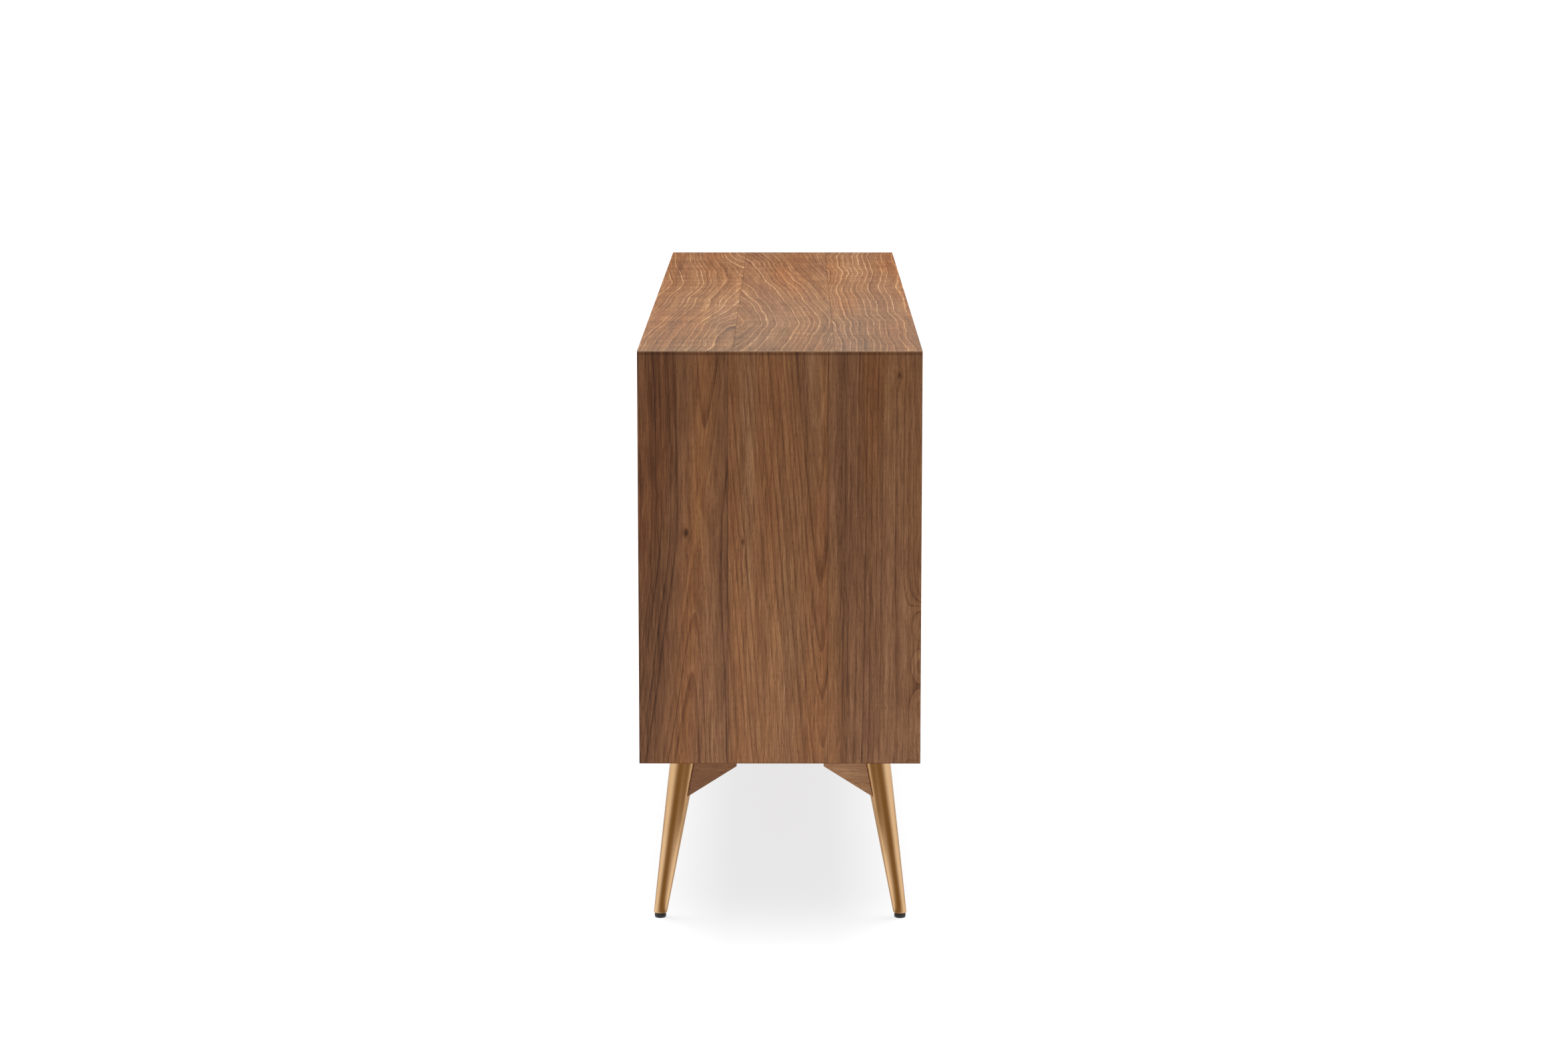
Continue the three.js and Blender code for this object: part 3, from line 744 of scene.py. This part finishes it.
def eased(node_name, piece_name, finish, edge, rounds=3):
    """Replaces a node with a copy whose corners are rounded, and gives it its finish."""
    mesh = welded(node_name)
    mesh.materials.clear()
    mesh.materials.append(finish)
    mesh.shade_smooth()
    piece = link(bpy.data.objects.new(piece_name, mesh))
    bevel = piece.modifiers.new("eased edges", "BEVEL")
    bevel.width, bevel.segments = edge, rounds
    bevel.limit_method, bevel.angle_limit = "ANGLE", EASE_ANGLE
    bevel.harden_normals = True
    bevel.use_clamp_overlap = True
    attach(piece, body_of_node[node_name])
    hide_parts(node_name)


print(f"corners that turn by more than {math.degrees(EASE_ANGLE):.0f} degrees will be rounded")

# %% Dress the boards of the case, the doors and the drawer fronts
ARRIS = 0.0011
eased("top_panel", "veneered_top", walnut_top, ARRIS)
eased("bottom_panel", "veneered_bottom", walnut_bottom, ARRIS)
eased("back_panel", "veneered_back", walnut_back, 0.0004)
for side in SIDES:
    eased(f"{side}_side_panel", f"veneered_{side}_end", walnut_ends, ARRIS)
    eased(f"{side}_divider", f"veneered_{side}_divider", walnut_uprights, ARRIS)
    eased(f"{side}_shelf", f"veneered_{side}_shelf", walnut_shelves, ARRIS)
    eased(f"{side}_door", f"veneered_{side}_door", walnut_fronts, ARRIS)
    for end, finish in walnut_brackets.items():
        eased(f"leg_bracket_{end}_{side}", f"walnut_bracket_{end}_{side}", finish, 0.0012)
for number in (1, 2, 3):
    eased(f"drawer_{number}_front", f"veneered_drawer_front_{number}", walnut_fronts, ARRIS)
print("the walnut is dressed")

# %% Dress the drawer boxes and the fittings
for number in (1, 2, 3):
    drawer = f"drawer_{number}"
    eased(f"{drawer}_back", f"birch_back_{number}", birch_back, 0.0008)
    eased(f"{drawer}_base", f"birch_base_{number}", birch_base, 0.0004)
    for side in SIDES:
        eased(f"{drawer}_{side}_side", f"birch_{side}_side_{number}", birch_sides, 0.0008)
        for part in ("rail", "channel"):
            eased(f"{drawer}_{side}_slide_{part}", f"steel_{side}_slide_{part}_{number}", zinc_steel, 0.0004)
for side in SIDES:
    eased(f"{side}_door_catch", f"{side}_magnet_catch_housing", grey_plastic, 0.0012)
    for level in ("lower", "upper"):
        eased(f"{side}_door_{level}_case_leaf", f"brass_{side}_{level}_case_leaf", brass_fittings, 0.0003)
        eased(f"{side}_door_{level}_hinge_leaf", f"brass_{side}_{level}_door_leaf", brass_fittings, 0.0003)
    for end in ("front", "rear"):
        eased(f"glide_{end}_{side}", f"moulded_glide_{end}_{side}", black_plastic, 0.0004)
print("the drawer boxes and the fittings are dressed")

# %% [markdown]
# ## Rules instead of shapes: Geometry Nodes
#
# Some pieces follow a rule, so they are grown from it. A leg is a cone with rounded rims, bored from below
# and leaned to one side; its tree takes the radii, the lean and the bore as inputs. A screw is one small
# shape that stands at many points, each with its own facing and its own turn of the driver, so a second tree
# sets any part on any points. Both trees end in real geometry with its finish, and what they make is kept
# as a plain mesh.


# %% Start, finish and run a Geometry Nodes tree
def new_rule(name, sockets):
    """An empty tree with a geometry output, and its inputs as wires, by name."""
    tree = bpy.data.node_groups.new(name, "GeometryNodeTree")
    tree.interface.new_socket("Geometry", in_out="OUTPUT", socket_type="NodeSocketGeometry")
    for title, kind in sockets.items():
        tree.interface.new_socket(title, in_out="INPUT", socket_type=f"NodeSocket{kind}")
    start = tree.nodes.new("NodeGroupInput")
    return tree, {title: Wire(tree, start.outputs[title]) for title in sockets}


def end_rule(tree, geometry, finish):
    geometry = node(tree, "GeometryNodeRealizeInstances", None, {0: geometry})
    geometry = node(tree, "GeometryNodeSetMaterial", None, {"Geometry": geometry, "Material": finish})
    node(tree, "NodeGroupOutput", None, {0: geometry})


def grow(name, mesh, tree, values, body):
    """Runs a tree on a mesh, and keeps the result as one plain piece that rides a body."""
    seedling = link(bpy.data.objects.new(name, mesh))
    modifier = seedling.modifiers.new(tree.name, "NODES")
    modifier.node_group = tree
    for socket in tree.interface.items_tree:
        if socket.in_out == "INPUT" and socket.name in values:
            modifier[socket.identifier] = values[socket.name]
    depsgraph = bpy.context.evaluated_depsgraph_get()
    made = bpy.data.meshes.new_from_object(seedling.evaluated_get(depsgraph), depsgraph=depsgraph)
    bpy.data.objects.remove(seedling)
    made.shade_smooth()
    made.set_sharp_from_angle(angle=EASE_ANGLE)
    piece = link(bpy.data.objects.new(name, made))
    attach(piece, body)
    return piece


print("a Geometry Nodes tree can be started, finished and run")


# %% The rule of a leg
def leg_rule():
    sizes = ("Foot", "Top", "Foot radius", "Top radius", "Rim", "Wall", "Cap", "Splay")
    sockets = {"Geometry": "Geometry", **dict.fromkeys(sizes, "Float"), "Middle": "Vector"}
    tree, given = new_rule("tapered leg", {**sockets, "Sides": "Int", "Finish": "Material"})
    foot, top, splay = given["Foot"], given["Top"], given["Splay"]
    height = top - foot
    taper = given["Top radius"] - given["Foot radius"]

    # An upright spine, whose points crowd together at both ends, where the rims are rounded.
    spine = node(tree, "GeometryNodeCurvePrimitiveLine", None, {"Start": (0, 0, 0), "End": (0, 0, 1)})
    spine = node(tree, "GeometryNodeResampleCurve", None, {"Curve": spine, "Count": 64})
    part_way = node(tree, "GeometryNodeSplineParameter", out="Factor")
    crowded = 0.5 - 0.5 * maths("COSINE", part_way * math.pi)
    rise = vector(0.0, 0.0, foot + crowded * height)
    spine = node(tree, "GeometryNodeSetPosition", None, {"Geometry": spine, "Position": rise})

    # Its radius: a straight taper, less a quarter circle at each rim.
    position = node(tree, "GeometryNodeInputPosition")
    z = node(tree, "ShaderNodeSeparateXYZ", None, {0: position}, out=2)
    to_end = maths("MINIMUM", z - foot, top - z)
    rim = maths("MAXIMUM", 1 - to_end / given["Rim"], 0.0)
    loss = given["Rim"] * (1 - maths("SQRT", maths("MAXIMUM", 1 - rim * rim, 0.0)))
    radius = given["Foot radius"] + taper * ((z - foot) / height) - loss
    ring = node(tree, "GeometryNodeCurvePrimitiveCircle", None, {"Resolution": given["Sides"], "Radius": 1.0})
    skin = {"Curve": spine, "Profile Curve": ring, "Scale": radius, "Fill Caps": True}
    leg = node(tree, "GeometryNodeCurveToMesh", None, skin)

    # The bore: the sawn foot is drawn in to the wall's inside, then pushed up to the cap.
    sawn = maths("LESS_THAN", z, foot + 0.00001)
    inset = {"Mesh": leg, "Selection": sawn, "Offset Scale": 0.0, "Individual": False}
    opened = node(tree, "GeometryNodeExtrudeMesh", None, inset).socket.node
    cut, mouth = Wire(tree, opened.outputs["Mesh"]), Wire(tree, opened.outputs["Top"])
    narrow = {"Selection": mouth, "Scale": 1 - given["Wall"] / given["Foot radius"], "Center": (0, 0, 0)}
    drawn = node(tree, "GeometryNodeScaleElements", None, {"Geometry": cut, **narrow})
    depth = vector(0.0, 0.0, height - given["Cap"])
    push = {"Mesh": drawn, "Selection": mouth, "Offset": depth, "Offset Scale": 1.0, "Individual": False}
    bored = node(tree, "GeometryNodeExtrudeMesh", None, push).socket.node
    tube, roof = Wire(tree, bored.outputs["Mesh"]), Wire(tree, bored.outputs["Top"])
    wide = {"Selection": roof, "Scale": given["Top radius"] / given["Foot radius"]}
    leg = node(tree, "GeometryNodeScaleElements", None, {"Geometry": tube, **wide})

    # The lean, which turns each level ring into a slightly longer oval.
    split = node(tree, "ShaderNodeSeparateXYZ", None, {0: position}).socket.node
    y = Wire(tree, split.outputs[1])
    oval = maths("ABSOLUTE", 1 / maths("COSINE", splay)) - 1
    slide = vector(0.0, y * oval - z * maths("TANGENT", splay), 0.0)
    leg = node(tree, "GeometryNodeSetPosition", None, {"Geometry": leg, "Offset": slide})
    leg = node(tree, "GeometryNodeTransform", None, {"Geometry": leg, "Translation": given["Middle"]})
    end_rule(tree, leg, given["Finish"])
    return tree


tapered_leg = leg_rule()
print(f"the rule of a leg has {len(tapered_leg.nodes)} nodes")

# %% Grow the legs
SPLAY = math.radians(8.7)
for end, lean in (("front", -1), ("rear", 1)):
    for side, out in SIDES.items():
        leg = f"leg_{end}_{side}"
        low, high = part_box(leg)
        values = {
            "Foot": low.z, "Top": high.z, "Foot radius": 0.00961, "Top radius": 0.02042, "Rim": 0.0005,
            "Wall": 0.0020, "Cap": 0.0060, "Splay": lean * SPLAY, "Middle": (out * 0.671, lean * 0.177, 0),
            "Sides": 96, "Finish": brass_legs,
        }
        spot = bpy.data.meshes.new("spot")
        grown = grow(f"brass_{leg}", spot, tapered_leg, values, body_of_node[leg])
        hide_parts(leg)
print(f"four legs, each of {len(grown.data.polygons)} faces")

# %% [markdown]
# ## Fixings
#
# Cabinets are held together by small standard parts: countersunk and pan-head screws, shelf pins in rows of
# sockets, balls that roll in the drawer slides, and dowels whose ends show on a drawer's side. Each shape is
# modelled once, facing up, and the second rule sets it wherever it belongs.


# %% Small shapes, turned and cut
def as_part(name, work):
    mesh = bpy.data.meshes.new(name)
    bmesh.ops.recalc_face_normals(work, faces=work.faces)
    work.to_mesh(mesh)
    work.free()
    mesh.shade_smooth()
    mesh.set_sharp_from_angle(angle=math.radians(35))
    return link(bpy.data.objects.new(name, mesh))


def turned(work, profile, sides):
    """Turns (radius, height) pairs about Z, from the bottom's middle upwards. Returns the last ring."""
    rings = []
    for radius, height in profile:
        if radius == 0:
            rings.append([work.verts.new((0, 0, height))] * sides)
            continue
        angles = [math.tau * i / sides for i in range(sides)]
        rings.append([work.verts.new((radius * math.cos(a), radius * math.sin(a), height)) for a in angles])
    for low, high in zip(rings, rings[1:]):
        for i in range(sides):
            work.faces.new(dict.fromkeys((low[i - 1], low[i], high[i], high[i - 1])))
    return rings[-1]


def turned_part(name, profile, sides):
    work = bmesh.new()
    turned(work, [(radius / 1000, height / 1000) for radius, height in profile], sides)
    return as_part(name, work)


SCREW_SIDES = 16


def screw_head(name, radius, height, floor):
    """A round head with a cross recess, in millimetres. Floor is how high the bottom of the recess lies."""
    radius, height, floor = radius / 1000, height / 1000, floor / 1000
    work = bmesh.new()
    crown = [(1, 0), (1, 0.3), (0.93, 0.7), (0.72, 0.97)]
    rim = [(radius * wide, height * tall) for wide, tall in crown]
    ring = turned(work, [(0, 0), *rim], SCREW_SIDES)
    arm, half = radius * 0.52, radius * 0.12
    quarter = [(arm, -half), (arm, half), (half, half)]
    cross = list(quarter)
    for _ in range(3):
        quarter = [(-y, x) for x, y in quarter]
        cross += quarter
    lips = [work.verts.new((x, y, height)) for x, y in cross]
    depths = [work.verts.new((x * 0.85, y * 0.85, floor)) for x, y in cross]
    edges = [work.edges.new((lips[i - 1], lips[i])) for i in range(len(lips))]
    edges += [work.edges.get((ring[i - 1], ring[i])) for i in range(SCREW_SIDES)]
    bmesh.ops.bridge_loops(work, edges=edges)
    for i in range(len(lips)):
        work.faces.new((lips[i - 1], lips[i], depths[i], depths[i - 1]))
    work.faces.new(depths)
    return as_part(name, work)


pan_head = screw_head("pan_head", 3.2, 1.1, 0.2)
flat_head = screw_head("flat_head", 2.6, 0.14, 0.02)
slide_head = screw_head("slide_head", 2.6, 0.9, 0.1)
ball = turned_part("ball", [(0, -1.6), (1.13, -1.13), (1.6, 0), (1.13, 1.13), (0, 1.6)], 8)
pin_in_wall = [(0, -8), (2.3, -8), (2.5, -7.8), (2.5, 0)]
pin_outside = [(3.6, 0), (3.6, 0.9), (2.5, 1.2), (2.5, 8.4), (2.0, 9), (0, 9)]
shelf_pin = turned_part("shelf_pin", pin_in_wall + pin_outside, 20)
socket_profile = [(2.55, -1), (2.55, 0.12), (2.75, 0.25), (3.3, 0.25), (3.45, 0.1), (3.45, -1), (2.55, -1)]
pin_socket = turned_part("pin_socket", socket_profile, 16)
# A dark disc that fills the mouth of a socket: painted shade in place of the hole's depth.
socket_dark = turned_part("socket_dark", [(0, -1), (2.6, -1), (2.6, 0.04), (0, 0.04)], 16)
dowel_end = turned_part("dowel_end", [(0, -0.5), (4.0, -0.5), (4.0, 0.05), (3.7, 0.15), (0, 0.2)], 24)
PARTS = (pan_head, flat_head, slide_head, ball, shelf_pin, pin_socket, socket_dark, dowel_end)
print({part.name: len(part.data.polygons) for part in PARTS})


# %% The rule that sets parts on points
def fixing_rule():
    sockets = {"Points": "Geometry", "Part": "Object", "Finish": "Material", "Spin": "Float", "Seed": "Int"}
    tree, given = new_rule("fixings on points", sockets)
    part = node(tree, "GeometryNodeObjectInfo", None, {"Object": given["Part"]}, out="Geometry")
    named = {"data_type": "FLOAT_VECTOR"}
    facing = node(tree, "GeometryNodeInputNamedAttribute", named, {"Name": "facing"}, out="Attribute")
    upright = node(tree, "FunctionNodeAlignRotationToVector", {"axis": "Z"}, {"Vector": facing})
    luck = {3: given["Spin"], "Seed": given["Seed"]}
    turn = node(tree, "FunctionNodeRandomValue", {"data_type": "FLOAT"}, luck, out=1)
    spin = node(tree, "FunctionNodeEulerToRotation", None, {0: vector(0.0, 0.0, turn)})
    rotated = node(tree, "FunctionNodeRotateRotation", {"rotation_space": "LOCAL"}, {0: upright, 1: spin})
    places = {"Points": given["Points"], "Instance": part, "Rotation": rotated}
    end_rule(tree, node(tree, "GeometryNodeInstanceOnPoints", None, places), given["Finish"])
    return tree


fixings = fixing_rule()


def fix(name, part, finish, places, body):
    """Sets a part at places, which are (point, facing) pairs, as one piece on one body."""
    mesh = bpy.data.meshes.new(name)
    mesh.from_pydata([point for point, _ in places], [], [])
    facing = mesh.attributes.new("facing", "FLOAT_VECTOR", "POINT")
    for value, (_, direction) in zip(facing.data, places):
        value.vector = direction
    values = {"Part": part, "Finish": finish, "Spin": math.tau, "Seed": len(places)}
    piece = grow(name, mesh, fixings, values, body)
    if "facing" in piece.data.attributes:
        piece.data.attributes.remove(piece.data.attributes["facing"])


print("the rule for fixings is ready")

# %% [markdown]
# The fixings stand where the engineering model has its joints. Heights are read from the boxes of the pieces
# they belong to, so a screw stays on its leaf if the leaf moves up or down.

# %% Screws for the hinges, the back and the slides
UP, DOWNWARD, REARWARD = (0, 0, 1), (0, 0, -1), (0, 1, 0)
PIVOT_Y = -0.190
LEAF_SCREWS = (0.722, 0.741)  # how far from the middle the screws of a hinge leaf stand
DOOR_LEAF = 0.0025
case_leaf_places = []
for side, out in SIDES.items():
    door_leaf_places = []
    for level, case_way in (("lower", UP), ("upper", DOWNWARD)):
        case_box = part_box(f"{side}_door_{level}_case_leaf")
        door_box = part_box(f"{side}_door_{level}_hinge_leaf")
        door_way = DOWNWARD if level == "lower" else UP
        case_z = case_box[1].z if level == "lower" else case_box[0].z
        door_z = door_box[1].z - DOOR_LEAF if level == "lower" else door_box[0].z + DOOR_LEAF
        for reach in LEAF_SCREWS:
            case_leaf_places.append(((out * reach, PIVOT_Y, case_z), case_way))
            door_leaf_places.append(((out * reach, PIVOT_Y, door_z), door_way))
    fix(f"{side}_door_leaf_screws", flat_head, brass_fittings, door_leaf_places, f"{side}_door")
fix("case_leaf_screws", flat_head, brass_fittings, case_leaf_places, "carcass")

back_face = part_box("back_panel")[1].y
inner_x, low_z, high_z = 0.769, 0.291, 0.819
back_places = []
for i in range(10):
    x = inner_x * (2 * i / 9 - 1)
    back_places += [((x, back_face, low_z), REARWARD), ((x, back_face, high_z), REARWARD)]
for x in (-inner_x, -0.268, 0.268, inner_x):
    back_places += [((x, back_face, z), REARWARD) for z in (0.42, 0.555, 0.69)]
fix("back_panel_screws", pan_head, zinc_steel, back_places, "carcass")

CHANNEL_WEB, RAIL_WEB, BALL_TRACK = 0.2564, 0.2466, 0.2505  # distances from the middle of the case
BALL_RISE, BALL_PITCH, BALLS = 0.0187, 0.012, 24
channel_places, rail_places, ball_places = [], {}, []
for number in (1, 2, 3):
    rail_places[number] = []
    for side, out in SIDES.items():
        low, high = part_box(f"drawer_{number}_{side}_slide_channel")
        middle = (low.z + high.z) / 2
        for y in (-0.125, 0.0, 0.125):
            channel_places.append(((out * CHANNEL_WEB, y, middle), (-out, 0, 0)))
            rail_places[number].append(((out * RAIL_WEB, y - 0.015, middle), (out, 0, 0)))
        for i in range(BALLS):
            y = -0.150 + BALL_PITCH * i
            ball_places += [((out * BALL_TRACK, y, middle + rise), UP) for rise in (BALL_RISE, -BALL_RISE)]
fix("slide_channel_screws", slide_head, zinc_steel, channel_places, "carcass")
fix("slide_balls", ball, zinc_steel, ball_places, "carcass")
for number, places in rail_places.items():
    rail_screws = f"slide_rail_screws_{number}"
    fix(rail_screws, slide_head, zinc_steel, places, f"drawer_{number}")
print(f"{len(back_places)} screws in the back, {len(ball_places)} balls in the slides")

# %% Shelf pins, their sockets and the dowels
PIN_DROP = 0.0025  # a pin's middle lies this far below the shelf
SOCKET_PITCH = 0.032
DIVIDER_FACE, END_FACE, BOX_FACE = 0.278, 0.778, 0.245  # distances from the middle of the case
pin_places, socket_places = [], []
pin_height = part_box("right_shelf")[0].z - PIN_DROP
for out in (-1, 1):
    for face, inward in ((DIVIDER_FACE, out), (END_FACE, -out)):
        for y in (-0.110, 0.136):
            pin_places.append(((out * face, y, pin_height), (inward, 0, 0)))
            for row in (-5, -4, -3, -2, -1, 1, 2, 3, 4, 5):
                z = pin_height + SOCKET_PITCH * row
                socket_places.append(((out * face, y, z), (inward, 0, 0)))
fix("shelf_pins", shelf_pin, brass_fittings, pin_places, "carcass")
fix("shelf_pin_sockets", pin_socket, brass_fittings, socket_places, "carcass")
# The dark discs in the sockets are painted shade for the holes.
fix("shelf_pin_holes", socket_dark, painted_hole_shade, socket_places, "carcass")
for number in (1, 2, 3):
    dowel_places = []
    for side, out in SIDES.items():
        low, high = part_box(f"drawer_{number}_{side}_side")
        for up in (0.022, 0.098):
            dowel_places.append(((out * BOX_FACE, high.y - 0.006, low.z + up), (out, 0, 0)))
    fix(f"dowel_ends_{number}", dowel_end, birch_back, dowel_places, f"drawer_{number}")
print(f"{len(pin_places)} shelf pins and {len(socket_places)} spare sockets")


# %% Magnets and their plates
def plate(name, low, high, finish, body, slot):
    """A thin plate between two corners, with its edges rounded."""
    work = bmesh.new()
    size = Vector(high) - Vector(low)
    middle = (Vector(high) + Vector(low)) / 2
    bmesh.ops.create_cube(work, size=1, matrix=Matrix.LocRotScale(middle, None, size))
    thin = min(size)
    bmesh.ops.bevel(work, geom=work.edges, offset=thin * 0.3, segments=2, profile=0.5, affect="EDGES")
    piece = as_part(name, work)
    piece.data.materials.append(finish)
    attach(piece, body)


CATCH_NEAR, CATCH_FAR = 0.304, 0.340
STRIKE_FACE = -0.17885
for side, out in SIDES.items():
    x_low, x_high = sorted((out * CATCH_NEAR, out * CATCH_FAR))
    for row, z in enumerate((0.8182, 0.8228)):
        corners = (x_low, -0.17865, z), (x_high, -0.1770, z + 0.0018)
        plate(f"{side}_catch_pole_{row + 1}", *corners, dark_steel, "carcass", "zinc_plated_steel")
    corners = (x_low, -0.1793, 0.8155), (x_high, STRIKE_FACE, 0.8240)
    plate(f"{side}_strike_plate", *corners, zinc_steel, f"{side}_door", "zinc_plated_steel")
    strike_places = [((out * reach, STRIKE_FACE, 0.81975), REARWARD) for reach in (0.311, 0.333)]
    fix(f"{side}_strike_screws", flat_head, zinc_steel, strike_places, f"{side}_door")

for part in PARTS:
    bpy.data.objects.remove(part)
print("the catches have their magnets and plates")
